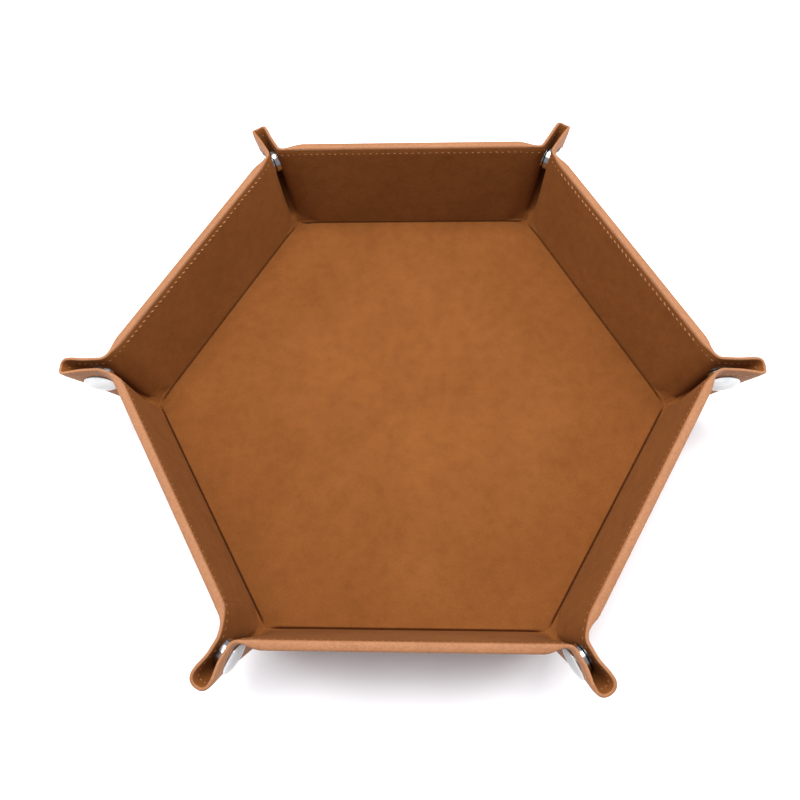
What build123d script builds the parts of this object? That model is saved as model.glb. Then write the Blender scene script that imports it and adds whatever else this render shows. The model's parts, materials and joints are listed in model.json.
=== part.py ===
from build123d import *
import os
from math import acos, atan, cos, degrees, radians, sin, tan

# Folding six-sided snap tray, standing snapped on a table. Millimetres and degrees.
# Origin: centre of the floor's underside. +Z up. A flat side faces -Y and a corner points along +X.
# Each wall leans out from its hinge line on the floor's edge. Between two walls the sheet carries on as a
# kite, pinched outwards into an ear whose two halves stand parallel and are held by a snap.

# --- driving dimensions ---
SIDES = 6
HINGE_APOTHEM = 89.4        # centre of the tray to a wall's hinge line
WALL_HEIGHT = 39.3          # hinge line to rim, measured along the wall
WALL_RISE = 80.5            # how far a snapped wall stands up from flat
COVER = 0.8                 # faux leather
BOARD = 1.8                 # stiffening board
LINING = 0.7                # suede-like cloth
EAR_HALF_GAP = 2.2          # middle of an ear half to the corner's middle plane
EAR_CORNER_RADIUS = 14.0    # rounding of the flat sheet's outer corners

HINGE_GAP = 1.5             # floor's edge to the hinge line
WALL_FOOT = 1.0             # hinge line to a wall's lower edge
BOARD_MARGIN = 0.9          # board's edge to the edge of its panel
WALL_BOARD_SHORT = 8.0      # unboarded strip at each end of a wall
WALL_END_CLEARANCE = 0.6    # wall's end to the ear's crease
WALL_FOOT_RADIUS = 7.0      # rounding of a wall's lower corners
FLOOR_CORNER_RADIUS = 6.0

WEB_CLEARANCE = 0.9         # ear half's edge to its crease
WEB_FOOT = 3.0              # lowest point of an ear half, up the wall
FOLD_STRIP = 5.0            # strip beside the fold that turns with the other half
FOLD_FOOT = 9.0             # lowest point of that strip, clear of the next wall as the ear opens
FOLD_GAP = 0.15             # each side of the fold
STRIP_GAP = 1.2             # fold strip to the rest of its half

SNAP_OUT = 7.5              # snap's centre from the crease
SNAP_UP = 30.0              # snap's centre up the crease
CAP_RADIUS = 6.0
CAP_EDGE = 0.4
CAP_DOME = 1.2
POST_RADIUS = 1.6
FLARE_RADIUS = 2.3
FLARE = 0.3
SOCKET_RADIUS = 4.8
SOCKET_HEIGHT = 2.2
SOCKET_FLOOR = 0.35
SOCKET_BORE_RADIUS = 2.8
STUD_BASE_RADIUS = 4.6
STUD_BASE = 0.4
STUD_RADIUS = 1.95
STUD_HEAD_RADIUS = 2.2
STUD_HEIGHT = 2.1
STUD_HEAD = 0.8
RIM_ROUND = 0.4             # bevel round the socket's mouth
EDGE_AROUND_CAP = 0.4       # sheet left round a cap

# --- worked out from them ---
TURN = 360 / SIDES
PANEL = COVER + BOARD + LINING
WEB = COVER + LINING
HINGE_HEIGHT = COVER + BOARD * 2 / 3            # hinge line above the table
CORNER_TAN = tan(radians(TURN / 2))
HINGE_HALF = HINGE_APOTHEM * CORNER_TAN         # half the hinge line's length
# An ear half lies parallel to the corner's middle plane, so its crease on the wall starts short of the
# corner and leans towards it.
CREASE_START = HINGE_HALF - EAR_HALF_GAP / cos(radians(TURN / 2))
CREASE_LEAN = degrees(atan(cos(radians(WALL_RISE)) * CORNER_TAN))
EAR_TURN = degrees(acos(sin(radians(WALL_RISE)) * sin(radians(TURN / 2))))

# Heights through a wall panel, from the middle plane that holds its hinge line.
COVER_OUT = -HINGE_HEIGHT
BOARD_OUT = COVER_OUT + COVER
BOARD_IN = BOARD_OUT + BOARD
LINING_IN = BOARD_IN + LINING


def wall_place(number):
    """Raised wall: X along its hinge line, Y up the wall, Z towards the inside of the tray."""
    facing = Location((0, 0, 0), (0, 0, TURN * (number - 0.5) - 90))
    return facing * Location((0, HINGE_APOTHEM, HINGE_HEIGHT), (WALL_RISE, 0, 0))


def web_place(number, side):
    """Ear half on a wall's end: the wall's own X and Y, turned back about the crease. Side is -1 or 1."""
    crease = Location((side * CREASE_START, 0, 0), (0, 0, -side * CREASE_LEAN))
    turn = Location((0, 0, 0), (0, side * EAR_TURN, 0))
    return wall_place(number) * crease * turn * crease.inverse()


def off_crease(out, up):
    """Point of the flat sheet, a distance out from the crease and up along it, on the +X side."""
    lean = radians(CREASE_LEAN)
    return (
        CREASE_START + out * cos(lean) + up * sin(lean),
        up * cos(lean) - out * sin(lean),
    )


def crease_x(out, height):
    """X of the line that runs beside the crease, at a height on the flat sheet."""
    lean = radians(CREASE_LEAN)
    return CREASE_START + out / cos(lean) + height * tan(lean)


def fold_x(back, height):
    """X of the line that runs a distance back from the kite's middle fold, at a height."""
    return HINGE_HALF + height * CORNER_TAN - back / cos(radians(TURN / 2))


def finish(node, name):
    """Label a finished piece and write it out."""
    node.label = name
    export_step(node, f"parts/{name}.step")


def floor_panel(name, bottom, thickness, margin):
    """One hexagonal layer of the floor."""
    with BuildPart() as layer:
        with BuildSketch(Plane.XY.offset(bottom)) as outline:
            RegularPolygon(HINGE_APOTHEM - HINGE_GAP - margin, SIDES, major_radius=False)
            fillet(outline.vertices(), FLOOR_CORNER_RADIUS)
        extrude(amount=thickness)
    finish(layer.part, name)


def wall_panel(name, number, low, high, end_short, foot, top, lip=False):
    """One layer of a wall between two heights through it, with rounded lower corners."""
    face = Plane(wall_place(number))
    with BuildPart() as layer:
        with BuildSketch(face.offset(low)) as outline:
            left, right = crease_x(-end_short, foot), crease_x(-end_short, top)
            Polygon((-left, foot), (left, foot), (right, top), (-right, top), align=None)
            fillet(outline.vertices().group_by(Axis.Y)[0], WALL_FOOT_RADIUS)
        extrude(amount=high - low)
        if lip:
            with BuildSketch(face.offset(low)):
                inner, outer = crease_x(-end_short, top - COVER), crease_x(-end_short, top)
                Polygon(
                    (-inner, top - COVER), (inner, top - COVER), (outer, top), (-outer, top),
                    align=None,
                )
            extrude(amount=PANEL)
    finish(layer.part, name)


def sheet_corner():
    """Add to a sketch the flat sheet beyond a wall's +X end, out to the middle of its rounded corner."""
    centre = (
        HINGE_HALF + (WALL_HEIGHT - EAR_CORNER_RADIUS) * CORNER_TAN,
        WALL_HEIGHT - EAR_CORNER_RADIUS,
    )
    with BuildLine() as outline:
        corner = CenterArc(centre, EAR_CORNER_RADIUS, 90 - TURN / 2, TURN / 2)
        Polyline(corner @ 1, (CREASE_START, WALL_HEIGHT), (CREASE_START, 0), (HINGE_HALF, 0), corner @ 0)
    make_face(outline.edges())


def keep_band(near, back):
    """Keep a sketch of the sheet's corner from a distance out of the crease to a distance off the fold."""
    top = WALL_HEIGHT
    Polygon(
        (crease_x(near, WEB_FOOT), WEB_FOOT),
        (fold_x(back, WEB_FOOT), WEB_FOOT),
        (fold_x(back, top), top),
        (crease_x(near, top), top),
        align=None,
        mode=Mode.INTERSECT,
    )


def beside_fold(width, foot, spared, mode):
    """Cut or keep the strip along the fold above its foot, except for a circle of sheet around the snap."""
    with BuildSketch(mode=Mode.PRIVATE) as strip:
        Polygon(
            (fold_x(width, foot), foot),
            (fold_x(-1, foot), foot),
            (fold_x(-1, WALL_HEIGHT), WALL_HEIGHT),
            (fold_x(width, WALL_HEIGHT), WALL_HEIGHT),
            align=None,
        )
        snap_spot(spared)
    add(strip.sketch, mode=mode)


def snap_spot(radius):
    """Cut a circle around the snap's centre from a sketch of the sheet's corner."""
    with Locations(off_crease(SNAP_OUT, SNAP_UP)):
        Circle(radius, mode=Mode.SUBTRACT)


def web_sheet(name, number, side, draw):
    """Part of an ear half: cover and lining glued together, from the outline that draw() makes."""
    with BuildPart() as sheet:
        with BuildSketch(Plane(web_place(number, side)).offset(-WEB / 2)):
            sheet_corner()
            keep_band(WEB_CLEARANCE, FOLD_GAP)
            draw()
            if side < 0:
                mirror(about=Plane.YZ, mode=Mode.REPLACE)
        extrude(amount=WEB)
    finish(sheet.part, name)


def whole_half():
    """Ear half in one piece, with its snap's hole."""
    snap_spot(POST_RADIUS)


def half_without_strip():
    """Ear half short of its fold strip, but whole around its snap, with the snap's hole."""
    beside_fold(FOLD_STRIP + STRIP_GAP, 0, CAP_RADIUS + EDGE_AROUND_CAP, Mode.SUBTRACT)
    snap_spot(POST_RADIUS)


def fold_strip():
    """Strip beside the fold, cut back around the snap."""
    beside_fold(FOLD_STRIP, FOLD_FOOT, CAP_RADIUS + EDGE_AROUND_CAP + STRIP_GAP, Mode.INTERSECT)


def snap_place(number, side):
    """Snap's own axis on an ear half: Z towards the lining, from the middle of the sheet."""
    out, up = off_crease(SNAP_OUT, SNAP_UP)
    return Plane(web_place(number, side) * Location((side * out, up, 0)))


def turned(place, outline):
    """Solid turned about a snap's axis from an outline of (radius, height) points."""
    section = Plane(origin=place.origin, x_dir=place.x_dir, z_dir=-place.y_dir)
    with BuildPart() as piece:
        with BuildSketch(section):
            Polygon(*outline, align=None)
        revolve(axis=Axis(place.origin, place.z_dir))
    return piece.part


def cap_outline(post_top, flare_radius):
    """Domed cap on the cover, and its post through the sheet with a flared end."""
    skin = -WEB / 2
    steps = 8
    dome = [
        (
            CAP_RADIUS * sin(radians(90 * i / steps)),
            skin - CAP_EDGE - (CAP_DOME - CAP_EDGE) * cos(radians(90 * i / steps)),
        )
        for i in range(steps + 1)
    ]
    post = [
        (CAP_RADIUS, skin),
        (POST_RADIUS, skin),
        (POST_RADIUS, post_top - FLARE),
        (flare_radius, post_top - FLARE),
        (flare_radius, post_top),
        (0, post_top),
    ]
    return dome + post


def snap_socket(name, number):
    """Cap and socket on one half of an ear, pressed together through the sheet."""
    place = snap_place(number, -1)
    base = WEB / 2
    seat = base + SOCKET_FLOOR
    top = base + SOCKET_HEIGHT
    cap = turned(place, cap_outline(seat + FLARE, FLARE_RADIUS))
    socket = turned(
        place,
        [
            (POST_RADIUS, base),
            (SOCKET_RADIUS, base),
            (SOCKET_RADIUS, top - RIM_ROUND),
            (SOCKET_RADIUS - RIM_ROUND, top),
            (SOCKET_BORE_RADIUS, top),
            (SOCKET_BORE_RADIUS, seat),
            (POST_RADIUS, seat),
        ],
    )
    finish(Compound(children=[cap, socket]), name)


def snap_stud(name, number):
    """Cap and stud on the other half of the ear, pressed together through the sheet."""
    place = snap_place(number, 1)
    base = WEB / 2
    seat = base + STUD_BASE
    top = base + STUD_HEIGHT
    cap = turned(place, cap_outline(seat + FLARE, POST_RADIUS))
    stud = turned(
        place,
        [
            (POST_RADIUS, base),
            (STUD_BASE_RADIUS, base),
            (STUD_BASE_RADIUS, seat),
            (STUD_RADIUS, seat),
            (STUD_RADIUS, top - STUD_HEAD),
            (STUD_HEAD_RADIUS, top - STUD_HEAD / 2),
            (STUD_RADIUS, top),
            (0, top),
            (0, seat + FLARE),
            (POST_RADIUS, seat + FLARE),
        ],
    )
    finish(Compound(children=[cap, stud]), name)


os.makedirs("parts", exist_ok=True)

floor_panel("floor_cover", 0, COVER, 0)
floor_panel("floor_board", COVER, BOARD, BOARD_MARGIN)
floor_panel("floor_lining", COVER + BOARD, LINING, 0)

WALL_TOP = WALL_HEIGHT - COVER
for wall in range(1, SIDES + 1):
    end, foot = WALL_END_CLEARANCE, WALL_FOOT
    wall_panel(f"wall_cover_{wall}", wall, COVER_OUT, BOARD_OUT, end, foot, WALL_HEIGHT, lip=True)
    wall_panel(f"wall_lining_{wall}", wall, BOARD_IN, LINING_IN, end, foot, WALL_TOP)
    end, foot = WALL_BOARD_SHORT, WALL_FOOT + BOARD_MARGIN
    wall_panel(f"wall_board_{wall}", wall, BOARD_OUT, BOARD_IN, end, foot, WALL_TOP)

# Corner 1 lies between walls 1 and 2. Its ear's socket half hinges on wall 1, its stud half on wall 2,
# and the fold strip carries on from the socket half, round the end of the ear.
for corner in range(1, SIDES + 1):
    following = corner % SIDES + 1
    web_sheet(f"ear_socket_half_{corner}", corner, -1, whole_half)
    web_sheet(f"ear_stud_half_{corner}", following, 1, half_without_strip)
    web_sheet(f"ear_fold_{corner}", following, 1, fold_strip)
    snap_socket(f"snap_socket_{corner}", corner)
    snap_stud(f"snap_stud_{corner}", following)
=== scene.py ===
import json
import math

import bpy
import numpy as np
from mathutils import Matrix, Vector


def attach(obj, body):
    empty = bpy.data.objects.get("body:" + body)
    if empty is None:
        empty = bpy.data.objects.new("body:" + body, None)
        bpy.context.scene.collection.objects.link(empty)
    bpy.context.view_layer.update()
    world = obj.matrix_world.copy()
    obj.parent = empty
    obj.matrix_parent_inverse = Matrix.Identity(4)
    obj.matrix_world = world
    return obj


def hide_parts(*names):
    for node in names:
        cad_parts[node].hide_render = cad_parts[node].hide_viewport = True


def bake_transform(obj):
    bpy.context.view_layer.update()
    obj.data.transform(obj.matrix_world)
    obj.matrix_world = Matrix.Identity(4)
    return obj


# A folding six-sided snap tray, standing snapped. Its cloth and faux leather are built round the packed
# frame: the floor and walls are boards with a cover outside and a suede lining inside, and between two
# walls the sheet runs on and is pinched outwards into a looped ear that a snap holds.

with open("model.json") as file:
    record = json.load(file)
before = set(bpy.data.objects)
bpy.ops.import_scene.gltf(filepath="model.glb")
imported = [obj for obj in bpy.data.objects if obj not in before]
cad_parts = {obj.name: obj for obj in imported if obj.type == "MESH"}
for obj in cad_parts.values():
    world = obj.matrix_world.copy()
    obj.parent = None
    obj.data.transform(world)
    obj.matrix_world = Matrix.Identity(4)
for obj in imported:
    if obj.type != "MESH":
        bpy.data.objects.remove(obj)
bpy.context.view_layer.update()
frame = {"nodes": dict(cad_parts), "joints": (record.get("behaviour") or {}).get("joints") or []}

MM = 0.001
SIDES = 6
TURN = 2 * math.pi / SIDES
UP = np.array([0.0, 0.0, 1.0])
JOINTS = {joint["name"]: joint for joint in frame["joints"]}

# --- the frame's own places, read from its joints ---
FIRST_HINGE = JOINTS["wall_1_fold"]
FIRST_CREASE = JOINTS["ear_1_socket_side"]
HINGE_POINT = np.array(FIRST_HINGE["pos_m"])
HINGE_APOTHEM = float(np.hypot(*HINGE_POINT[:2]))
HINGE_HEIGHT = float(HINGE_POINT[2])
WALL_RISE = math.radians(FIRST_HINGE["range_deg"][1])
EAR_TURN = math.radians(FIRST_CREASE["range_deg"][1])
CORNER_TAN = math.tan(math.pi / SIDES)
CORNER_COS = math.cos(math.pi / SIDES)
HINGE_HALF = HINGE_APOTHEM * CORNER_TAN
CREASE_START = float(np.linalg.norm(np.array(FIRST_CREASE["pos_m"]) - HINGE_POINT))
CREASE_TAN = math.cos(WALL_RISE) * CORNER_TAN
EAR_GAP = (HINGE_HALF - CREASE_START) * CORNER_COS

# --- the sheet, in metres ---
WALL_HEIGHT = 39.3 * MM         # hinge line to rim, up the wall
COVER = 0.8 * MM
LINING = 0.7 * MM
BOARDED_OUT, BOARDED_IN = -2.0 * MM, 1.3 * MM   # faces of a boarded wall, from its middle plane
SOFT_OUT, SOFT_IN = -0.75 * MM, 0.75 * MM       # faces where there is no board
BOARD_END = 8.3 * MM            # end of a wall's board to the ear's crease
SOFT_START = 2.0 * MM           # how far before the crease the sheet has thinned down
CORNER_ROUND = 14.0 * MM        # rounding of the flat sheet's outer corners
BEND_BEFORE = 8.0 * MM          # the bend into an ear, before and after its crease
BEND_AFTER = 3.6 * MM
BEND_MOST = 0.45                # most of an ear's half that the bend may take
LOOP_OPENS = 28.0 * MM          # height where an ear's loop starts to widen
LOOP_EASE = 8.0 * MM            # length over which an ear half leaves the loop
LOOP_REACH = 1.3                # how much longer than wide a loop's round end is
LOOP_REACH_LEAST = 0.15         # share of that reach left where the sheet is short
LOOP_TIGHT = 1.82               # sheet in half of a loop's round end, for each unit of half width, up to
LOOP_WIDE = 1.35                # the ear's own half width, and for what the loop is wider than that
FOOT = 1.2 * MM                 # lowest row of a wall's sheet
FOOT_EASE = 4.0 * MM            # height over which the throat opens above the foot
FOOT_FILLET = 2.6 * MM          # rounding of the corner at the foot
FOOT_PLACES = ([0, 1, 2, 3], [0, 0.82, 0.93, 1])    # columns, and how far along the foot row each starts
LIP_BOARDED = 0.3 * MM          # how far the cover comes down inside the rim
LIP_SOFT = 0.08 * MM
RIM_ROUND_BOARDED = 0.85 * MM
RIM_ROUND_SOFT = 0.42 * MM
RIM_PINCH = 0.24                # share by which the unboarded sheet thins at its edge
RIM_PINCH_DOWN = 3.0 * MM
HINGE_FLOOR_SIDE = 2.3 * MM     # floor's lining ends this far before the hinge line
HINGE_COVER_SIDE = 2.2 * MM     # and its cover this far
HINGE_STRIP = 2.8 * MM          # flat width of the strip at a wall's hinge, with its groove
# The crease's groove between floor and wall: its near lip, bottom and far lip, each outwards and upwards
# from where the linings' faces would meet, and its underside, outwards and upwards from the hinge line.
GROOVE = ((-0.8 * MM, 0.0), (-0.22 * MM, -1.5 * MM), (0.06 * MM, -0.35 * MM))
GROOVE_UNDER = (-1.0 * MM, -2.0 * MM)
GROOVE_BROW = 0.2               # share of the way down over which the near lip rounds off
GROOVE_ROUND = 0.1              # share of each side that rounds the bottom
GROOVE_OUT = 0.3                # how far towards the wall the far side is drawn
GROOVE_FADE = 5.0 * MM          # length over which it fades at a corner
CORNER_DIMPLE = 0.7 * MM        # how far the floor's lining sinks at a corner, and how far round it
CORNER_DIMPLE_REACH = 9.0 * MM

BOARD_FOOT = 0.9 * MM           # board's edges from the sheet's foot and from its rim
BOARD_TOP = 1.5 * MM

# --- stitches ---
STITCH_PITCH = 2.45 * MM
STITCH_LENGTH = 1.6 * MM
STITCH_RADIUS = 0.21 * MM
STITCH_FLAT = 0.8               # a stitch's height through the sheet, against its width
STITCH_TAPER = 0.62             # radius at its ends, against the middle
STITCH_SIDES = 6
STITCH_DOWN = 3.0 * MM          # stitch line below the rim
STITCH_SLANT = 0.26 * MM        # rise from a stitch's middle to its end
STITCH_PARTS = np.linspace(-0.5, 0.5, 5)        # places along a stitch, and how far each stands out
STITCH_LIFT = np.array([-0.2, 0.03, 0.09, 0.03, -0.2]) * MM
EAR_STITCH_SINK = 0.19 * MM     # how deep the ears' stitches lie in the sheet
# How unevenly the walls' stitches are sewn: along and across the line, and in length and slant.
SEWN_ALONG = 0.12
SEWN_ACROSS = 0.1
SEWN_LENGTH = (0.75, 1.1)
SEWN_SLANT = (0.5, 2.0)
SEWN_SEED = 100

# The sheet isn't quite regular. In mm, by wall or corner, which count round from +X: how much further out
# than the frame's a wall leans at its rim, half the width of an ear's loop there, and how deep a wall's
# stitches lie.
RIM_LEAN = {1: 1.3, 2: 2.6, 3: 1.1, 4: -2.4, 5: 2.2, 6: 0.3}
LOOP_RIM = {1: 2.4, 2: 2.6, 3: 2.9, 4: 3.4, 5: 3.4, 6: 2.8}
STITCH_SINK = {1: 0.0, 2: 0.15, 3: 0.0, 4: 0.19, 5: 0.19, 6: 0.19}
LEAN_EASE = 11.0 * MM           # length over which a wall's own lean runs out towards its ear
LEAN_END = 2.0 * MM             # how far past the crease it has run out

# --- meshes ---
WALL_COLUMNS = 33
WALL_ROWS = 14
EAR_ROWS = 22
ROUND_STEPS = 5                 # in each quarter of the rim
GROOVE_STEPS = 6
ARC_STEPS = 9                   # round the hinge, for the cover
HINGE_END = 0.78                # share of a hinge's half where its columns get closer
HINGE_END_COLUMNS = 12
BEND_COLUMNS = 20
HALF_COLUMNS = 10
LOOP_COLUMNS = 13
SEAM_COLUMN = 1.86              # column, along the flat half, where the fold's piece begins
LAST_STITCH_COLUMN = 2.98       # the fold's stitches stop just before its middle
FLOOR_RINGS = 40
FLOOR_STEPS = 24                # along each side
FLOOR_CROWDING = 1.6            # how much closer the rings get towards the edge
SHARP_ANGLE = math.radians(40)
STEP = 0.02 * MM                # for slopes of the sheet
COLUMN_STEP = 0.004
TOP_HALVINGS = 40               # to find the flat sheet's edge
LINE_STEPS = 400                # along an ear's line of stitches


# --- small helpers ---

def smooth(x):
    """0 up to 0, 1 from 1, and a smooth step between them."""
    x = np.clip(x, 0.0, 1.0)
    return x * x * (3 - 2 * x)


def turned(vector, axis, angle):
    """The vector turned about the axis."""
    axis = axis / np.linalg.norm(axis)
    return (
        vector * math.cos(angle)
        + np.cross(axis, vector) * math.sin(angle)
        + axis * np.dot(axis, vector) * (1 - math.cos(angle))
    )


def unit(vectors):
    return vectors / np.maximum(np.linalg.norm(vectors, axis=-1, keepdims=True), 1e-12)


def add_mesh(name, points, faces, material):
    """A smooth-shaded mesh whose steeper edges stay sharp."""
    mesh = bpy.data.meshes.new(name)
    mesh.from_pydata([tuple(p) for p in np.asarray(points, float)], [], faces)
    mesh.validate()
    mesh.update()
    mesh.shade_smooth()
    mesh.set_sharp_from_angle(angle=SHARP_ANGLE)
    mesh.materials.append(material)
    piece = bpy.data.objects.new(name, mesh)
    bpy.context.scene.collection.objects.link(piece)
    return piece


def loft(sections):
    """Points and faces of a closed shell from an array (columns, 2 paths, steps, 3): each column has an
    outer and an inner path, and the shell is closed along their ends and at the first and last column."""
    columns, _, steps, _ = sections.shape
    ring = np.concatenate([sections[:, 0], sections[:, 1, ::-1]], axis=1)
    size = 2 * steps
    points = ring.reshape(-1, 3)
    faces = []
    for c in range(columns - 1):
        for i in range(size):
            j = (i + 1) % size
            faces.append((c * size + i, c * size + j, (c + 1) * size + j, (c + 1) * size + i))
    for c, flip in ((0, False), (columns - 1, True)):
        for i in range(steps - 1):
            face = (
                c * size + i, c * size + size - 1 - i,
                c * size + size - 2 - i, c * size + i + 1,
            )
            faces.append(face[::-1] if flip else face)
    return points, faces


def outward(points, faces):
    """The same faces, turned to face outwards."""
    p = np.asarray(points)
    fans = np.array([(f[0], f[i], f[i + 1]) for f in faces for i in range(1, len(f) - 1)])
    a, b, c = (p[fans[:, i]] for i in range(3))
    volume = (a * np.cross(b, c)).sum()
    return faces if volume > 0 else [f[::-1] for f in faces]


def joined(shells):
    """Several shells' points and faces as one, each facing outwards."""
    points, faces, start = [], [], 0
    for shell_points, shell_faces in shells:
        faces += [tuple(start + i for i in f) for f in outward(shell_points, shell_faces)]
        points.append(np.asarray(shell_points))
        start += len(shell_points)
    return np.concatenate(points), faces


# --- the wall's plane and the ear's shape ---

class Side:
    """One wall's end at a corner: its plane, the crease into the ear, and the sheet's rows over both.
    side is -1 for the wall before the corner, counting round from +X, and 1 for the wall after it."""

    def __init__(self, corner, side):
        wall = corner if side < 0 else corner % SIDES + 1
        hinge = JOINTS[f"wall_{wall}_fold"]
        web = JOINTS[f"ear_{corner}_{'socket' if side < 0 else 'stud'}_side"]
        t = np.array(hinge["axis"], float)
        self.corner, self.side, self.wall = corner, side, wall
        self.start = np.array(hinge["pos_m"])
        self.out = np.array([t[1], -t[0], 0.0])
        self.along = t * -side
        self.up = self.out * math.cos(WALL_RISE) + UP * math.sin(WALL_RISE)
        self.inward = UP * math.cos(WALL_RISE) - self.out * math.sin(WALL_RISE)
        self.web = turned(self.along, np.array(web["axis"], float), -EAR_TURN)
        angle = corner * TURN
        self.across = np.array([-math.sin(angle), math.cos(angle), 0.0]) * side
        self.crease_up = unit(self.along * CREASE_TAN + self.up)

    def crease(self, up):
        """The wall's middle to the ear's crease."""
        return CREASE_START + up * CREASE_TAN

    def on_wall(self, along, up, through=0.0):
        """Point at a distance from the wall's middle, up it, and through it towards the inside."""
        along, up, through = np.broadcast_arrays(along, up, through)
        lean = RIM_LEAN[self.wall] * MM * np.clip(up, 0, None) / WALL_HEIGHT
        lean = lean * smooth((self.crease(up) + LEAN_END - np.abs(along)) / LEAN_EASE)
        return (
            self.start + along[..., None] * self.along + up[..., None] * self.up
            + through[..., None] * self.inward + lean[..., None] * self.out
        )


def ear_length(up):
    """Crease to the ear's fold along a row of the flat sheet."""
    return HINGE_HALF + up * CORNER_TAN - CREASE_START - up * CREASE_TAN


def bend_after(up):
    """Length of the bend beyond the crease, which is shorter where the ear is."""
    return np.minimum(BEND_AFTER, BEND_MOST * ear_length(up))


def loop_half(corner, up):
    """Half of the loop's width."""
    rim = LOOP_RIM[corner] * MM
    return EAR_GAP + (rim - EAR_GAP) * smooth((up - LOOP_OPENS) / (WALL_HEIGHT - LOOP_OPENS))


def loop_sheet(corner, up):
    """Length of sheet in half of the loop's round end."""
    return LOOP_TIGHT * EAR_GAP + LOOP_WIDE * (loop_half(corner, up) - EAR_GAP)


def loop_start(corner, up):
    """Crease to the start of the loop's round end."""
    return np.maximum(bend_after(up), ear_length(up) - loop_sheet(corner, up))


def row_place(corner, column, up):
    """Distance from the crease along a row. column runs 0-1 from the board's end over the bend, 1-2 along
    the ear's flat half, and 2-3 round half of its loop."""
    bend, loop, end = bend_after(up), loop_start(corner, up), ear_length(up)
    return np.where(
        column <= 1, -BOARD_END + (bend + BOARD_END) * column,
        np.where(column <= 2, bend + (loop - bend) * (column - 1), loop + (end - loop) * (column - 2)),
    )


def sheet_top(corner, column):
    """Height of the flat sheet's outer edge at a column: the rim, or the rounded corner."""
    round_from = HINGE_HALF + (WALL_HEIGHT - CORNER_ROUND) * CORNER_TAN
    past_loop = np.clip(column - 2, 0, 1)
    column = np.where(column > 2, 2 + past_loop * (1 + past_loop - past_loop**2), column)
    low, high = np.zeros_like(column), np.full_like(column, WALL_HEIGHT)
    for _ in range(TOP_HALVINGS):
        middle = (low + high) / 2
        across = CREASE_START + middle * CREASE_TAN + row_place(corner, column, middle)
        past = np.clip(across - round_from, 0, CORNER_ROUND)
        edge = WALL_HEIGHT - CORNER_ROUND + np.sqrt(CORNER_ROUND**2 - past**2)
        low, high = np.where(middle < edge, middle, low), np.where(middle < edge, high, middle)
    return np.where(high > WALL_HEIGHT - STEP, WALL_HEIGHT, high)


def foot_row(place, column, up):
    """The row where the throat is closed: along the wall and round a fillet to the corner's middle."""
    begin = place.crease(up) - BOARD_END
    turn_from = (HINGE_APOTHEM + up * math.cos(WALL_RISE)) * CORNER_TAN - FOOT_FILLET * CORNER_TAN
    half_arc = FOOT_FILLET * math.pi / SIDES
    travel = np.interp(column, *FOOT_PLACES) * (turn_from - begin + half_arc)
    straight = np.minimum(travel, turn_from - begin)
    angle = np.maximum(travel - (turn_from - begin), 0) / FOOT_FILLET
    return (
        place.on_wall(begin + straight, up)
        + (FOOT_FILLET * np.sin(angle))[..., None] * place.along
        - (FOOT_FILLET * (1 - np.cos(angle)))[..., None] * place.out
    )


def ear_row(place, column, up):
    """The row as the snap holds it: wall, bend, flat half, and half of the loop."""
    a = row_place(place.corner, column, up)
    crease = place.start + place.crease(up)[..., None] * place.along + up[..., None] * place.up
    bend, loop, end = bend_after(up), loop_start(place.corner, up), ear_length(up)
    wall = place.on_wall(place.crease(up) + a, up)
    lean = wall - crease - a[..., None] * place.along
    tau = np.clip((a + BEND_BEFORE) / (BEND_BEFORE + bend), 0, 1)[..., None]
    rounded = (
        crease - ((1 - tau) ** 2 * BEND_BEFORE) * place.along
        + (tau**2 * bend[..., None]) * place.web + lean
    )
    half = loop_half(place.corner, up)
    ease = np.minimum(LOOP_EASE, loop - bend + STEP)
    widened = EAR_GAP + (half - EAR_GAP) * smooth((a - loop + ease) / ease)
    flat = crease + a[..., None] * place.web + (widened - EAR_GAP)[..., None] * place.across + lean
    angle = np.clip((a - loop) / np.maximum(end - loop, STEP), 0, 1) * math.pi / 2
    sheet = np.clip((end - loop) / loop_sheet(place.corner, up), LOOP_REACH_LEAST, 1)
    reach = LOOP_REACH * half * sheet
    looped = (
        crease + (loop + reach * np.sin(angle))[..., None] * place.web
        + (half * np.cos(angle) - EAR_GAP)[..., None] * place.across
    )
    a = a[..., None]
    return np.where(
        a <= -BEND_BEFORE, wall,
        np.where(a <= bend[..., None], rounded, np.where(a <= loop[..., None], flat, looped)),
    )


def middle_surface(place, column, up):
    """Middle of the sheet at a corner, wall's end to fold."""
    column, up = np.broadcast_arrays(np.asarray(column, float), np.asarray(up, float))
    open_share = smooth((up - FOOT) / FOOT_EASE)[..., None]
    return foot_row(place, column, up) * (1 - open_share) + ear_row(place, column, up) * open_share


def inward_normal(place, column, up):
    """Towards the lining. A column's end is met from within, and the fold's lies in the middle plane."""
    column, up = np.broadcast_arrays(np.asarray(column, float), np.asarray(up, float))
    low, high = np.maximum(column - COLUMN_STEP, 0), np.minimum(column + COLUMN_STEP, 3)
    over = middle_surface(place, high, up) - middle_surface(place, low, up)
    upwards = middle_surface(place, column, up + STEP) - middle_surface(place, column, up - STEP)
    normal = unit(np.cross(over, upwards) * place.side)
    at_fold = (column >= 3 - 1e-9)[..., None]
    flattened = normal - (normal @ place.across)[..., None] * place.across
    return unit(np.where(at_fold, flattened, normal))


def softness(place, column, up):
    """0 where there is board, 1 where there is none."""
    return smooth((BOARD_END + row_place(place.corner, column, up)) / (BOARD_END - SOFT_START))


def faces_through(soft):
    """Outer and inner face of the sheet."""
    out = BOARDED_OUT + (SOFT_OUT - BOARDED_OUT) * soft
    inside = BOARDED_IN + (SOFT_IN - BOARDED_IN) * soft
    return out, inside


def rim_shape(soft):
    """How round the rim is, and how far the cover comes down inside it."""
    rim = RIM_ROUND_BOARDED + (RIM_ROUND_SOFT - RIM_ROUND_BOARDED) * soft
    lip = LIP_BOARDED + (LIP_SOFT - LIP_BOARDED) * soft
    return rim, lip


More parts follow.
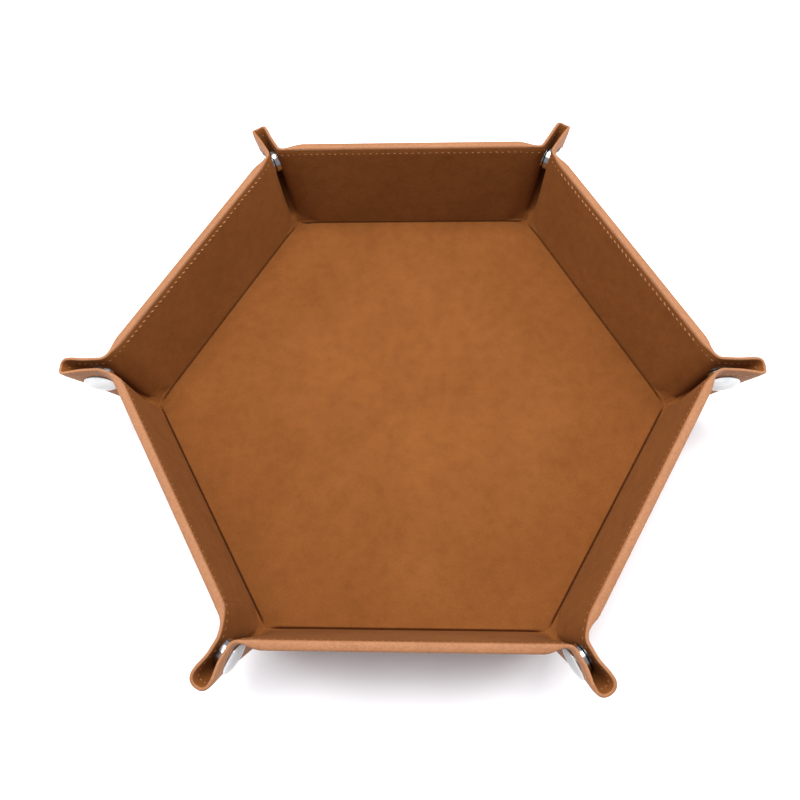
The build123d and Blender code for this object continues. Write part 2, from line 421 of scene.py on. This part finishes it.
def pinched(up, through, top, soft):
    """Place through the sheet, thinned towards the edge where there is no board."""
    return through * (1 - RIM_PINCH * soft * smooth((up - top + RIM_PINCH_DOWN) / RIM_PINCH_DOWN))


# --- sections through the sheet: height up the wall and place through it ---

RIM_CROWN = 0.14 * MM           # how far the rim's middle stands above its rounded edges
RIM_CROWN_LOST = 0.8            # share of that lost where there is no board
LINING_EDGE = 0.22 * MM         # rounding of the lining's edge
LINING_EDGE_LOST = 0.5
LINING_EDGE_CUT = 0.3           # where on it the edge's middle lies
LINING_EDGE_BACK = (0.85, 0.7)  # and shares of the thickness where its back ends
UNDER_LIP = 0.02 * MM           # how far the lip's back lies behind its face


def cover_paths(top, soft, rows):
    """Outer and inner path of the cover: up outside, over the rim and down to its lip."""
    (out, inside), (rim, lip) = faces_through(soft), rim_shape(soft)
    quarter = np.linspace(0, math.pi / 2, ROUND_STEPS)
    share = np.linspace(0, 1, rows)[:-1]
    outer = [(u, out) for u in FOOT + (top - rim - FOOT) * share]
    outer += [(top - rim + rim * math.sin(q), out + rim * (1 - math.cos(q))) for q in quarter]
    outer += [(top + RIM_CROWN * (1 - RIM_CROWN_LOST * soft), (out + inside) / 2)]
    outer += [(top - rim + rim * math.cos(q), inside - rim * (1 - math.sin(q))) for q in quarter]
    outer += [(top - rim - lip, inside)]
    under, reach = out + COVER, inside - UNDER_LIP
    inner = [(u, under) for u in FOOT + (top - COVER - FOOT) * share]
    for part in np.linspace(0, 1, len(outer) - len(inner)):
        inner.append((top - COVER - part * (rim + lip - COVER), under + part * (reach - under)))
    paths = np.array([outer, inner])
    paths[..., 1] = pinched(paths[..., 0], paths[..., 1], top, soft)
    return paths


def lining_paths(top, soft, rows):
    """Inner and back path of the lining, which ends in a soft edge under the cover's lip."""
    (_, inside), (rim, lip) = faces_through(soft), rim_shape(soft)
    end = top - rim - lip
    edge = LINING_EDGE * (1 - LINING_EDGE_LOST * soft)
    share = np.linspace(0, 1, rows)
    front = [(u, inside) for u in FOOT + (end - edge - FOOT) * share]
    cut = LINING_EDGE_CUT * edge
    front += [(end - cut, inside - cut), (end, inside - edge)]
    back = [(u, inside - LINING) for u in FOOT + (end - FOOT) * share]
    back += [(end, inside - LINING * part) for part in LINING_EDGE_BACK]
    paths = np.array([front, back])
    paths[..., 1] = pinched(paths[..., 0], paths[..., 1], top, soft)
    return paths


# --- walls ---

def wall_sections(place, paths):
    """A wall's columns, from end to end, each with its paths at the wall's own slant."""
    sections = []
    for share in np.linspace(-1, 1, WALL_COLUMNS):
        up, through = paths[..., 0], paths[..., 1]
        along = share * (place.crease(up) - BOARD_END)
        sections.append(place.on_wall(along, up, through))
    return np.array(sections)


HINGE_CORNER_OUT = -BOARDED_IN * math.tan(WALL_RISE / 2)    # where floor and wall linings meet


def dimple(points):
    """How far the sheet sinks at the floor's corners, where no board is under it."""
    points = np.asarray(points)
    drop = np.zeros(points.shape[:-1])
    radius = (HINGE_APOTHEM + HINGE_CORNER_OUT) / CORNER_COS
    for k in range(SIDES):
        corner = radius * np.array([math.cos(k * TURN), math.sin(k * TURN)])
        distance = np.linalg.norm(points[..., :2] - corner, axis=-1)
        drop = np.maximum(drop, CORNER_DIMPLE * smooth(1 - distance / CORNER_DIMPLE_REACH))
    return drop


def bezier(a, b, c, t):
    """Points of a curve from a to c, drawn towards b."""
    a, b, c = (np.asarray(x, float) for x in (a, b, c))
    t = np.asarray(t)[:, None]
    return (1 - t) ** 2 * a + 2 * (1 - t) * t * b + t * t * c


def hinge_end_softness(place, share, end_along):
    """Softness of the wall's foot row at a place along the hinge strip."""
    past = abs(share) * end_along - (place.crease(FOOT) - BOARD_END)
    return float(smooth(past / (BOARD_END - SOFT_START)))


def from_hinge(up, through):
    """A point of the wall as (outwards, upwards) from the hinge line."""
    return np.array([
        up * math.cos(WALL_RISE) - through * math.sin(WALL_RISE),
        up * math.sin(WALL_RISE) + through * math.cos(WALL_RISE),
    ])


def lining_hinge_paths(inside, groove, drop):
    """The lining over the hinge, from floor to wall, as (outwards, upwards) from the hinge line."""
    floor = BOARDED_IN - drop
    begin, end = np.array([-HINGE_FLOOR_SIDE, floor]), from_hinge(FOOT, inside)
    meet = np.array([HINGE_CORNER_OUT, floor])
    near, bottom, far = (meet + np.array(offset) for offset in GROOVE)
    brow = GROOVE_BROW * (bottom - near)
    t = np.linspace(0, 1, GROOVE_STEPS)
    creased = np.vstack([
        bezier(begin, near, near + brow, t),
        bezier(near + brow, bottom - GROOVE_ROUND * (bottom - near), bottom, t)[1:],
        bezier(bottom, bottom + GROOVE_ROUND * (far - bottom), far, t)[1:],
        bezier(far, (1 - GROOVE_OUT) * meet + GROOVE_OUT * end, end, t)[1:],
    ])
    plain = bezier(begin, meet, end, np.linspace(0, 1, len(creased)))
    front = plain + (creased - plain) * groove
    back = bezier(
        begin - [0, LINING], GROOVE_UNDER, from_hinge(FOOT, inside - LINING),
        np.linspace(0, 1, len(creased)),
    )
    return np.array([front, back])


def cover_hinge_paths(out):
    """The cover round the hinge line, from under the floor to the wall's outer face."""
    angles = np.linspace(0, WALL_RISE, ARC_STEPS)
    paths = []
    for radius, through in ((HINGE_HEIGHT, out), (HINGE_HEIGHT - COVER, out + COVER)):
        arc = [(radius * math.sin(a), -radius * math.cos(a)) for a in angles]
        wall = tuple(from_hinge(FOOT, through))
        paths.append([(-HINGE_COVER_SIDE, -radius), (-HINGE_COVER_SIDE / 2, -radius), *arc, wall])
    paths = np.array(paths)
    ease = np.linspace(0, 1, len(angles) + 2)[:, None] ** 2
    for i, through in enumerate((out, out + COVER)):
        shift = from_hinge(FOOT, through) - from_hinge(FOOT, (BOARDED_OUT, BOARDED_OUT + COVER)[i])
        paths[i, 1:] += ease * shift
        paths[i, -1] = from_hinge(FOOT, through)
    return paths


def hinge_sections(place, which):
    """The strip over a wall's hinge, mitred against its neighbours at both corners."""
    shares = np.concatenate([
        -np.linspace(1, HINGE_END, HINGE_END_COLUMNS)[:-1],
        np.linspace(-HINGE_END, HINGE_END, WALL_COLUMNS),
        np.linspace(HINGE_END, 1, HINGE_END_COLUMNS)[1:],
    ])
    sections = []
    for share in shares:
        soft = hinge_end_softness(place, share, HINGE_HALF)
        out, inside = faces_through(soft)
        spot = place.start + share * HINGE_HALF * place.along - HINGE_FLOOR_SIDE * place.out
        if which == "lining":
            fade = float(smooth((1 - abs(share)) * HINGE_HALF / GROOVE_FADE))
            paths = lining_hinge_paths(inside, fade, float(dimple(spot)))
        else:
            paths = cover_hinge_paths(out)
        outwards, upwards = paths[..., 0], paths[..., 1]
        along = share * (HINGE_APOTHEM + outwards) * CORNER_TAN
        sections.append(
            place.start + along[..., None] * place.along + outwards[..., None] * place.out
            + upwards[..., None] * UP
        )
    return np.array(sections)


# --- ears ---

def ear_columns(place, which, columns):
    """Sections of a corner's sheet at the given columns, on one side of the corner."""
    tops = sheet_top(place.corner, np.array(columns, float))
    sections = []
    for column, top in zip(columns, tops):
        soft = float(softness(place, column, np.array(top)))
        paths = (cover_paths if which == "cover" else lining_paths)(top, soft, EAR_ROWS)
        up, through = paths[..., 0], paths[..., 1]
        base = middle_surface(place, column, up)
        normal = inward_normal(place, column, up)
        sections.append(base + through[..., None] * normal)
    return np.array(sections)


HALF_PLACES = [*np.linspace(0, 1, BEND_COLUMNS), *np.linspace(1, SEAM_COLUMN, HALF_COLUMNS)[1:]]
FOLD_PLACES = [SEAM_COLUMN, 2.0, *np.linspace(2, 3, LOOP_COLUMNS)[1:]]


# --- stitches ---

def stitch_tube(centres, normals):
    """A stitch: a small tube along a few points, with closed ends."""
    sides = STITCH_SIDES
    tangent = unit(np.gradient(centres, axis=0))
    over = unit(np.cross(tangent, normals))
    rings = []
    for i, centre in enumerate(centres):
        taper = STITCH_RADIUS * (STITCH_TAPER if i in (0, len(centres) - 1) else 1.0)
        for s in range(sides):
            q = 2 * math.pi * s / sides
            rings.append(centre + taper * (math.cos(q) * over[i] + STITCH_FLAT * math.sin(q) * normals[i]))
    faces = []
    for i in range(len(centres) - 1):
        for s in range(sides):
            n = (s + 1) % sides
            faces.append((i * sides + s, i * sides + n, (i + 1) * sides + n, (i + 1) * sides + s))
    faces.append(tuple(range(sides)))
    last = (len(centres) - 1) * sides
    faces.append(tuple(last + s for s in reversed(range(sides))))
    return np.array(rings), faces


def wall_stitches(place):
    """Stitches along a wall, on both faces."""
    up = WALL_HEIGHT - STITCH_DOWN
    half = float(place.crease(up) - BOARD_END)
    count = int(2 * half / STITCH_PITCH)
    shells = []
    sewn = np.random.default_rng(SEWN_SEED + place.wall)
    for i in range(count):
        middle = (i - (count - 1) / 2) * STITCH_PITCH + sewn.uniform(-SEWN_ALONG, SEWN_ALONG) * MM
        along = middle + STITCH_PARTS * STITCH_LENGTH * sewn.uniform(*SEWN_LENGTH)
        rows = up + sewn.uniform(-SEWN_ACROSS, SEWN_ACROSS) * MM
        rows = rows + STITCH_PARTS * 2 * STITCH_SLANT * sewn.uniform(*SEWN_SLANT)
        for face, sign in ((BOARDED_IN, 1), (BOARDED_OUT, -1)):
            lift = STITCH_LIFT - STITCH_SINK[place.wall] * MM
            centres = place.on_wall(along, rows, face + sign * lift)
            normals = np.tile(place.inward * sign, (len(along), 1))
            shells.append(stitch_tube(centres, normals))
    return shells


def ear_stitches(place, first, last):
    """Stitches along a corner's sheet between two columns, on both faces."""
    fine = np.linspace(first, last, LINE_STEPS)
    tops = sheet_top(place.corner, fine) - STITCH_DOWN
    line = middle_surface(place, fine, tops)
    travel = np.concatenate([[0], np.cumsum(np.linalg.norm(np.diff(line, axis=0), axis=1))])
    count = max(int(round(travel[-1] / STITCH_PITCH)), 1)
    pitch = travel[-1] / count
    shells = []
    for i in range(count):
        spots = np.clip((i + 0.5) * pitch + STITCH_PARTS * STITCH_LENGTH, 0, travel[-1])
        column = np.interp(spots, travel, fine)
        top = sheet_top(place.corner, column)
        up = top - STITCH_DOWN + STITCH_PARTS * 2 * STITCH_SLANT
        soft = softness(place, column, top)
        out, inside = (pinched(up, face, top, soft) for face in faces_through(soft))
        middle = middle_surface(place, column, up)
        normal = inward_normal(place, column, up)
        for face, sign in ((inside, 1), (out, -1)):
            centres = middle + (face + sign * (STITCH_LIFT - EAR_STITCH_SINK))[:, None] * normal
            shells.append(stitch_tube(centres, normal * sign))
    return shells


# --- materials ---

def new_material(name, **settings):
    """A material with its nodes, links and shader, and the place on the object as a texture coordinate.
    settings are the shader's own numbers and colours, with _ for each space in their names."""
    material = bpy.data.materials.new(name)
    material.use_nodes = True
    nodes = material.node_tree.nodes
    shader = nodes["Principled BSDF"]
    for setting, value in settings.items():
        shader.inputs[setting.replace("_", " ")].default_value = value
    place = nodes.new("ShaderNodeTexCoord").outputs["Object"]
    return material, nodes, material.node_tree.links, shader, place


def noise(nodes, links, coordinates, scale, detail, roughness):
    node = nodes.new("ShaderNodeTexNoise")
    node.inputs["Scale"].default_value = scale
    node.inputs["Detail"].default_value = detail
    node.inputs["Roughness"].default_value = roughness
    links.new(coordinates, node.inputs["Vector"])
    return node.outputs["Fac"]


def ramp(nodes, links, value, stops):
    """A colour for each value, between stops of (value, colour)."""
    node = nodes.new("ShaderNodeValToRGB")
    elements = node.color_ramp.elements
    while len(elements) < len(stops):
        elements.new(0.5)
    for element, (position, colour) in zip(elements, stops):
        element.position = position
        element.color = (*colour, 1)
    links.new(value, node.inputs["Fac"])
    return node.outputs["Color"]


def multiplied(nodes, links, a, b):
    node = nodes.new("ShaderNodeMix")
    node.data_type = "RGBA"
    node.blend_type = "MULTIPLY"
    node.inputs["Factor"].default_value = 1.0
    links.new(a, node.inputs[6])
    links.new(b, node.inputs[7])
    return node.outputs[2]


def ranged(nodes, links, value, low, high):
    node = nodes.new("ShaderNodeMapRange")
    node.inputs["To Min"].default_value = low
    node.inputs["To Max"].default_value = high
    links.new(value, node.inputs["Value"])
    return node.outputs["Result"]


def bumped(nodes, links, height, distance, strength, before=None):
    """A surface direction from a height, on top of another one if before is given."""
    node = nodes.new("ShaderNodeBump")
    node.inputs["Distance"].default_value = distance
    node.inputs["Strength"].default_value = strength
    links.new(height, node.inputs["Height"])
    if before is not None:
        links.new(before, node.inputs["Normal"])
    return node.outputs["Normal"]


def suede():
    """Napped lining: broad brushed patches, finer mottling, and fibres."""
    material, nodes, links, shader, place = new_material(
        "suede_lining", Roughness=0.97, Specular_IOR_Level=0.04,
        Sheen_Weight=0.03, Sheen_Roughness=0.45, Sheen_Tint=(0.95, 0.62, 0.38, 1),
    )
    broad = ramp(nodes, links, noise(nodes, links, place, scale=28, detail=4, roughness=0.6), [
        (0.3, (0.172, 0.057, 0.0140)), (0.52, (0.188, 0.063, 0.0158)), (0.74, (0.204, 0.070, 0.0180)),
    ])
    mottle = ramp(nodes, links, noise(nodes, links, place, scale=210, detail=5, roughness=0.65), [
        (0.3, (0.90, 0.89, 0.88)), (0.5, (1.0, 1.0, 1.0)), (0.74, (1.08, 1.09, 1.1)),
    ])
    fibre = ramp(nodes, links, noise(nodes, links, place, scale=2400, detail=2, roughness=0.7), [
        (0.3, (0.84, 0.84, 0.84)), (0.7, (1.12, 1.12, 1.12)),
    ])
    colour = multiplied(nodes, links, multiplied(nodes, links, broad, mottle), fibre)
    links.new(colour, shader.inputs["Base Color"])
    nap = noise(nodes, links, place, scale=1700, detail=3, roughness=0.7)
    nap = bumped(nodes, links, nap, distance=0.10 * MM, strength=0.55)
    relief = noise(nodes, links, place, scale=260, detail=4, roughness=0.6)
    relief = bumped(nodes, links, relief, distance=0.22 * MM, strength=0.5, before=nap)
    links.new(relief, shader.inputs["Normal"])
    return material


def faux_leather():
    """Fine-grained cover: small pebbles, slight unevenness of colour and gloss."""
    material, nodes, links, shader, place = new_material("faux_leather", Specular_IOR_Level=0.26)
    base = ramp(nodes, links, noise(nodes, links, place, scale=45, detail=4, roughness=0.6), [
        (0.3, (0.300, 0.127, 0.053)), (0.55, (0.325, 0.140, 0.060)), (0.75, (0.350, 0.155, 0.069)),
    ])
    grain = nodes.new("ShaderNodeTexVoronoi")
    grain.feature = "SMOOTH_F1"
    grain.inputs["Scale"].default_value = 1350
    grain.inputs["Smoothness"].default_value = 0.35
    links.new(place, grain.inputs["Vector"])
    pits = ramp(nodes, links, grain.outputs["Distance"], [
        (0.1, (1.05, 1.05, 1.05)), (0.75, (0.86, 0.84, 0.82)),
    ])
    links.new(multiplied(nodes, links, base, pits), shader.inputs["Base Color"])
    wear = noise(nodes, links, place, scale=160, detail=3, roughness=0.6)
    links.new(ranged(nodes, links, wear, low=0.50, high=0.72), shader.inputs["Roughness"])
    fine = ranged(nodes, links, grain.outputs["Distance"], low=1.0, high=0.0)
    fine = bumped(nodes, links, fine, distance=0.07 * MM, strength=0.5)
    soft = noise(nodes, links, place, scale=240, detail=3, roughness=0.55)
    soft = bumped(nodes, links, soft, distance=0.18 * MM, strength=0.4, before=fine)
    links.new(soft, shader.inputs["Normal"])
    return material


def sewing_thread():
    """Twisted thread, light tan."""
    material, nodes, links, shader, place = new_material("sewing_thread", Roughness=0.75, Sheen_Weight=0.2)
    colour = ramp(nodes, links, noise(nodes, links, place, scale=700, detail=3, roughness=0.6), [
        (0.3, (0.36, 0.17, 0.075)), (0.7, (0.52, 0.28, 0.135)),
    ])
    links.new(colour, shader.inputs["Base Color"])
    ply = nodes.new("ShaderNodeTexWave")
    ply.inputs["Scale"].default_value = 900
    ply.inputs["Distortion"].default_value = 1.5
    ply.bands_direction = "DIAGONAL"
    links.new(place, ply.inputs["Vector"])
    twist = bumped(nodes, links, ply.outputs["Fac"], distance=0.08 * MM, strength=0.6)
    links.new(twist, shader.inputs["Normal"])
    return material


def nickel():
    """Bright plated snap metal, with faint handling marks."""
    material, nodes, links, shader, place = new_material("nickel_plate", Metallic=1.0)
    tone = ramp(nodes, links, noise(nodes, links, place, scale=380, detail=3, roughness=0.5), [
        (0.35, (0.47, 0.475, 0.47)), (0.7, (0.55, 0.555, 0.55)),
    ])
    links.new(tone, shader.inputs["Base Color"])
    marks = noise(nodes, links, place, scale=1500, detail=4, roughness=0.65)
    links.new(ranged(nodes, links, marks, low=0.12, high=0.30), shader.inputs["Roughness"])
    links.new(bumped(nodes, links, marks, distance=0.01 * MM, strength=0.25), shader.inputs["Normal"])
    return material


def grey_board():
    """Bookbinder's board inside the sheet."""
    material, nodes, links, shader, place = new_material("grey_board", Roughness=0.95)
    fibres = noise(nodes, links, place, scale=900, detail=5, roughness=0.7)
    tone = ramp(nodes, links, fibres, [(0.3, (0.30, 0.27, 0.22)), (0.7, (0.42, 0.38, 0.31))])
    links.new(tone, shader.inputs["Base Color"])
    links.new(bumped(nodes, links, fibres, distance=0.05 * MM, strength=0.5), shader.inputs["Normal"])
    return material


SUEDE, LEATHER, THREAD = suede(), faux_leather(), sewing_thread()
NICKEL, BOARD = nickel(), grey_board()


# --- building the pieces ---


def declare_ear(columns):
    """Turns an ear's piece's columns, laid out on the flat sheet, into an array; nothing more is done
    with them."""
    columns = np.array(columns, float)


def floor_spots():
    """Places round a hexagon whose corners lie 1 from its middle, crowded towards the corners."""
    spots = []
    for k in range(SIDES):
        a, b = k * TURN, (k + 1) * TURN
        for s in range(FLOOR_STEPS):
            share = 0.5 - 0.5 * math.cos(math.pi * s / FLOOR_STEPS)
            spots.append((
                math.cos(a) * (1 - share) + math.cos(b) * share,
                math.sin(a) * (1 - share) + math.sin(b) * share,
            ))
    return np.array(spots)


def floor_shell(apothem, low, high, sinks):
    """Points and faces of a hexagonal sheet between two heights. The lining sinks at its corners."""
    around = SIDES * FLOOR_STEPS
    radii = (1 - (1 - np.linspace(0, 1, FLOOR_RINGS + 1)[1:]) ** FLOOR_CROWDING) * apothem / CORNER_COS
    spots = floor_spots()
    flat = np.concatenate([[[0, 0]], *[spots * r for r in radii]])
    sink = dimple(np.column_stack([flat, np.zeros(len(flat))])) if sinks else 0
    top = np.column_stack([flat, np.full(len(flat), high) - sink])
    bottom = np.column_stack([flat, np.full(len(flat), low) - sink])
    faces = [(0, 1 + s, 1 + (s + 1) % around) for s in range(around)]
    for r in range(FLOOR_RINGS - 1):
        for s in range(around):
            i, j = 1 + r * around, 1 + (r + 1) * around
            n = (s + 1) % around
            faces.append((i + s, j + s, j + n, i + n))
    count = len(flat)
    under = [tuple(count + v for v in reversed(f)) for f in faces]
    edge = 1 + (FLOOR_RINGS - 1) * around
    wall = []
    for s in range(around):
        n = (s + 1) % around
        wall.append((edge + s, count + edge + s, count + edge + n, edge + n))
    return np.vstack([top, bottom]), faces + under + wall


def build_floor():
    """The floor's two sheets."""
    for kind, which, material, apothem, low, high in (
        ("suede", "lining", SUEDE, HINGE_APOTHEM - HINGE_FLOOR_SIDE,
         HINGE_HEIGHT + BOARDED_IN - LINING, HINGE_HEIGHT + BOARDED_IN),
        ("leather", "cover", LEATHER, HINGE_APOTHEM - HINGE_COVER_SIDE, 0.0, COVER),
    ):
        shell = floor_shell(apothem, low, high, sinks=which == "lining")
        piece = add_mesh(f"floor_{kind}", *joined([shell]), material)
        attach(piece, "floor")
        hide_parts(f"floor_{which}")


def build_wall(number):
    """A wall's cover and lining with the hinge below them, the board between them, and its stitches."""
    place = Side(number, -1)
    body = f"wall_{number}"
    board = f"wall_board_{number}"
    lining = add_mesh(f"wall_suede_{number}", *joined([
        loft(wall_sections(place, lining_paths(WALL_HEIGHT, 0.0, WALL_ROWS))),
        loft(hinge_sections(place, "lining")),
    ]), SUEDE)
    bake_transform(lining)
    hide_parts(f"wall_lining_{number}")
    width, length = WALL_HEIGHT + HINGE_FLOOR_SIDE, 2 * HINGE_HALF
    area = 2 * WALL_HEIGHT * (place.crease(WALL_HEIGHT / 2) - BOARD_END) + HINGE_STRIP * length

    cover = add_mesh(f"wall_leather_{number}", *joined([
        loft(wall_sections(place, cover_paths(WALL_HEIGHT, 0.0, WALL_ROWS))),
        loft(hinge_sections(place, "cover")),
    ]), LEATHER)
    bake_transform(cover)
    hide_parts(f"wall_cover_{number}")
    turned_in = BOARDED_IN - BOARDED_OUT + LIP_BOARDED
    area = area + turned_in * 2 * (place.crease(WALL_HEIGHT) - BOARD_END)

    heights = np.linspace(FOOT + BOARD_FOOT, WALL_HEIGHT - BOARD_TOP, WALL_ROWS)
    faces = (BOARDED_OUT + COVER, BOARDED_IN - LINING)
    stiffener = add_mesh(f"wall_stiffener_{number}", *joined([
        loft(wall_sections(place, np.array([[(u, face) for u in heights] for face in faces])))
    ]), BOARD)
    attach(stiffener, body)
    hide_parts(board)

    thread = add_mesh(f"wall_stitches_{number}", *joined(wall_stitches(place)), THREAD)
    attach(thread, body)


def add_ear_sheets(name, corner, sections, columns, node):
    """The cover and the lining of one part of an ear. sections gives either's sections, columns the piece's
    columns on the flat sheet, and node the frame's part that is hidden with the cover."""
    for which, kind, material in (("cover", "leather", LEATHER), ("lining", "suede", SUEDE)):
        piece = add_mesh(f"ear_{name}_{kind}_{corner}", *joined([loft(sections(which))]), material)
        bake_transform(piece)
        if which == "cover":
            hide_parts(node)
        declare_ear(columns)


def add_ear_stitches(name, corner, shells):
    """The stitches of one part of an ear, as one piece."""
    thread = add_mesh(f"ear_{name}_stitches_{corner}", *joined(shells), THREAD)
    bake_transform(thread)


def build_ear_half(place):
    """The part of an ear next to a wall: the bend round its crease and the flat half, with stitches."""
    name, corner = "socket" if place.side < 0 else "stud", place.corner
    half = f"{name}_half_{corner}"
    foot = place.start + place.crease(0.0) * place.along
    add_ear_sheets(
        name, corner, lambda which: ear_columns(place, which, HALF_PLACES), HALF_PLACES,
        node=f"ear_{half}",
    )
    add_ear_stitches(name, corner, ear_stitches(place, 0.0, SEAM_COLUMN))


def build_ear_fold(before, after):
    """The part of an ear round its fold, with stitches."""
    corner = before.corner

    def sections(which):
        there = ear_columns(before, which, FOLD_PLACES)
        return np.concatenate([there, ear_columns(after, which, FOLD_PLACES)[-2::-1]])

    add_ear_sheets(
        "fold", corner, sections, FOLD_PLACES,
        node=f"ear_fold_{corner}",
    )
    shells = []
    for place in (before, after):
        shells += ear_stitches(place, SEAM_COLUMN, LAST_STITCH_COLUMN)
    add_ear_stitches("fold", corner, shells)


def build_ear(corner):
    """A corner's sheet in three parts."""
    before, after = Side(corner, -1), Side(corner, 1)
    build_ear_half(before)
    build_ear_half(after)
    build_ear_fold(before, after)


build_floor()
for number in range(1, SIDES + 1):
    build_wall(number)
for number in range(1, SIDES + 1):
    build_ear(number)

for node_name, node in frame["nodes"].items():
    finish = NICKEL if node_name.startswith("snap") else BOARD if "board" in node_name else None
    if finish is not None:
        node.data.materials.clear()
        node.data.materials.append(finish)


# --- the stage ---

TABLE_HALF = 6.0
TABLE_DROP = 0.05 * MM          # the table lies this far under the tray


def build_stage():
    """A plain pale table."""
    material, nodes, links, shader, place = new_material("pale_table", Roughness=0.6)
    tone = ramp(nodes, links, noise(nodes, links, place, scale=9, detail=3, roughness=0.5), [
        (0.3, (0.93, 0.93, 0.94)), (0.7, (0.955, 0.955, 0.965)),
    ])
    links.new(tone, shader.inputs["Base Color"])
    corners = [(x * TABLE_HALF, y * TABLE_HALF, 0) for x, y in ((-1, -1), (1, -1), (1, 1), (-1, 1))]
    table = add_mesh("table", corners, [(0, 1, 2, 3)], material)
    table.location.z = -TABLE_DROP


def add_light(name, place, target, size, power, colour):
    """A soft box: size is its width along X and its depth."""
    data = bpy.data.lights.new(name, "AREA")
    data.shape = "RECTANGLE"
    data.size, data.size_y = size
    data.energy = power
    data.color = colour
    light = bpy.data.objects.new(name, data)
    light.location = place
    direction = Vector(np.array(target, float) - np.array(place, float))
    light.rotation_euler = direction.to_track_quat("-Z", "Y").to_euler()
    bpy.context.scene.collection.objects.link(light)


def build_lights():
    """An even pale room with a soft box behind, one overhead and one at each side."""
    world = bpy.data.worlds.new("soft_room")
    world.use_nodes = True
    background = world.node_tree.nodes["Background"]
    background.inputs["Color"].default_value = (0.93, 0.97, 1.07, 1)
    background.inputs["Strength"].default_value = 0.42
    bpy.context.scene.world = world
    add_light("softbox_behind", (0.0, 0.30, 0.75), (0, 0.04, 0.02), (0.5, 0.25), 3.9, (1.0, 0.985, 0.965))
    add_light("softbox_overhead", (-0.04, 0.12, 0.95), (0, 0, 0.02), (1.6, 0.4), 10.5, (0.98, 0.99, 1.0))
    add_light("softbox_left", (-0.95, 0.05, 0.55), (0, 0, 0.02), (0.5, 0.5), 5.6, (0.98, 0.99, 1.0))
    add_light("softbox_right", (0.95, 0.05, 0.55), (0, 0, 0.02), (0.5, 0.5), 5.8, (0.98, 0.99, 1.0))


# The photograph's view, nearly overhead, a little round to the left and tilted: a camera fitted to the
# floor's creases. Angles in degrees.
VIEW_YAW, VIEW_ELEVATION, VIEW_ROLL = 6.1718, 66.6397, -5.6066
VIEW_TARGET = np.array([-3.59, 1.66, 3.3]) * MM
VIEW_DISTANCE = 329.4 * MM
SENSOR_WIDTH = 36.0
LENS = 36.84


def build_camera():
    """Look at the tray as the photograph does."""
    yaw, elevation, roll = (math.radians(x) for x in (VIEW_YAW, VIEW_ELEVATION, VIEW_ROLL))
    level = np.array([math.cos(yaw), math.sin(yaw), 0.0])
    back = np.array([
        math.sin(yaw) * math.cos(elevation), -math.cos(yaw) * math.cos(elevation), math.sin(elevation),
    ])
    steep = np.cross(back, level)
    right = level * math.cos(roll) + steep * math.sin(roll)
    up = steep * math.cos(roll) - level * math.sin(roll)
    place = VIEW_TARGET + back * VIEW_DISTANCE
    data = bpy.data.cameras.new("camera")
    data.sensor_width = SENSOR_WIDTH
    data.lens = LENS
    data.clip_start = 0.01
    camera = bpy.data.objects.new("camera", data)
    bpy.context.scene.collection.objects.link(camera)
    rows = [[right[i], up[i], back[i], place[i]] for i in range(3)]
    camera.matrix_world = Matrix(rows + [[0, 0, 0, 1]])
    bpy.context.scene.camera = camera


build_stage()
build_lights()
build_camera()
bpy.context.scene.view_settings.view_transform = "Standard"
